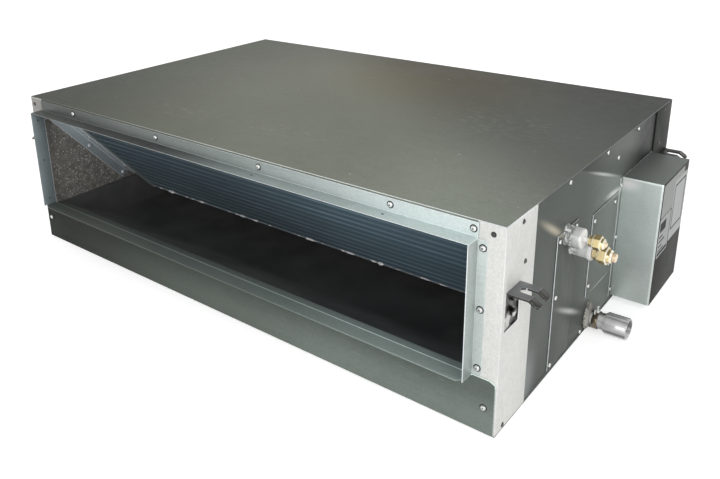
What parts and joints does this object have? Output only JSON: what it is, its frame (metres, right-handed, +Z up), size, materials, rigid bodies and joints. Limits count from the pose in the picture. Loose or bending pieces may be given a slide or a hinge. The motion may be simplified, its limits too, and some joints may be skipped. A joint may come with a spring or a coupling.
{
  "type": "ducted air conditioner indoor unit",
  "caption": "Low flat sheet-metal ducted air conditioner with a collared outlet, slanted coil over a drain pan, pipe and drain connections, side control box and hanging forks.",
  "frame": {"origin": "middle of the casing's underside", "axes": "+X along the long side to the pipe side, -Y out of the air outlet, +Y out of the return, +Z up"},
  "size_m": [1.0825, 0.7, 0.29],
  "materials": {
    "galvanised_steel": "zinc coated sheet, dull, with fine spangle and handling marks",
    "post_paint": "off-white powder coat, satin",
    "bright_galvanised": "bright zinc coated sheet",
    "zinc_steel": "zinc plated steel, satin",
    "liner_foam": "foil-backed foam, matt",
    "blue_fins": "dark coated fins",
    "copper": "bare copper tube, satin",
    "silver_jacket": "foam tube with a silver foil jacket",
    "brass": "turned brass, semi-gloss",
    "pan_black": "black lined moulded foam, satin",
    "clear_spout": "smooth grey plastic",
    "putty": "sealing putty, matt",
    "volute_plastic": "moulded plastic, matt",
    "wheel_plastic": "dark moulded plastic, satin",
    "motor_grey": "grey painted shell",
    "shaft_steel": "ground steel",
    "black_plastic": "black moulded plastic",
    "board_green": "lacquered board",
    "black_rubber": "black rubber"
  },
  "bodies": {
    "casing": {"access_panel": "galvanised_steel", "bottom_panel": "galvanised_steel", "cable_grommet": "black_rubber", "coil_bracket_left": "bright_galvanised", "coil_bracket_right": "bright_galvanised", "coil_end_plate_left": "bright_galvanised", "coil_end_plate_right": "bright_galvanised", "coil_fins": "blue_fins", "control_board": "board_green", "control_box_base": "galvanised_steel", "control_box_cover": "galvanised_steel", "corner_post_front_left": "post_paint", "corner_post_front_right": "post_paint", "corner_post_rear_left": "post_paint", "corner_post_rear_right": "post_paint", "drain_clamp": "zinc_steel", "drain_grommet": "putty", "drain_pan": "pan_black", "drain_spout": "clear_spout", "fan_capacitor": "black_plastic", "fan_deck": "bright_galvanised", "front_lower_panel": "galvanised_steel", "front_sill": "bright_galvanised", "gas_flare_nut": "brass", "gas_line": "copper", "gas_plug": "copper", "gas_sleeve": "silver_jacket", "gas_union": "brass", "hanger_bracket_front_left": "zinc_steel", "hanger_bracket_front_right": "zinc_steel", "hanger_bracket_rear_left": "zinc_steel", "hanger_bracket_rear_right": "zinc_steel", "liquid_flare_nut": "brass", "liquid_line": "copper", "liquid_plug": "copper", "liquid_sleeve": "silver_jacket", "liquid_union": "brass", "motor_cradle": "bright_galvanised", "motor_shell": "motor_grey", "outlet_flange_left": "bright_galvanised", "outlet_flange_right": "bright_galvanised", "outlet_flange_top": "bright_galvanised", "pipe_cover_panel": "galvanised_steel", "return_air_frame": "bright_galvanised", "side_liner_left": "liner_foam", "side_liner_right": "liner_foam", "side_panel_left": "galvanised_steel", "side_panel_right": "galvanised_steel", "terminal_block": "black_plastic", "top_liner": "liner_foam", "top_panel": "galvanised_steel", "volute_lower_left": "volute_plastic", "volute_lower_right": "volute_plastic", "volute_upper_left": "volute_plastic", "volute_upper_right": "volute_plastic"},
    "fan_rotor": {"motor_shaft": "shaft_steel", "blower_wheel_left": "wheel_plastic", "blower_wheel_right": "wheel_plastic"}
  },
  "joints": [
    {"name": "fan_spin", "type": "hinge", "parent": "casing", "child": "fan_rotor", "pos_m": [0, 0.16501, 0.12801], "axis": [1, 0, 0], "continuous": true}
  ]
}
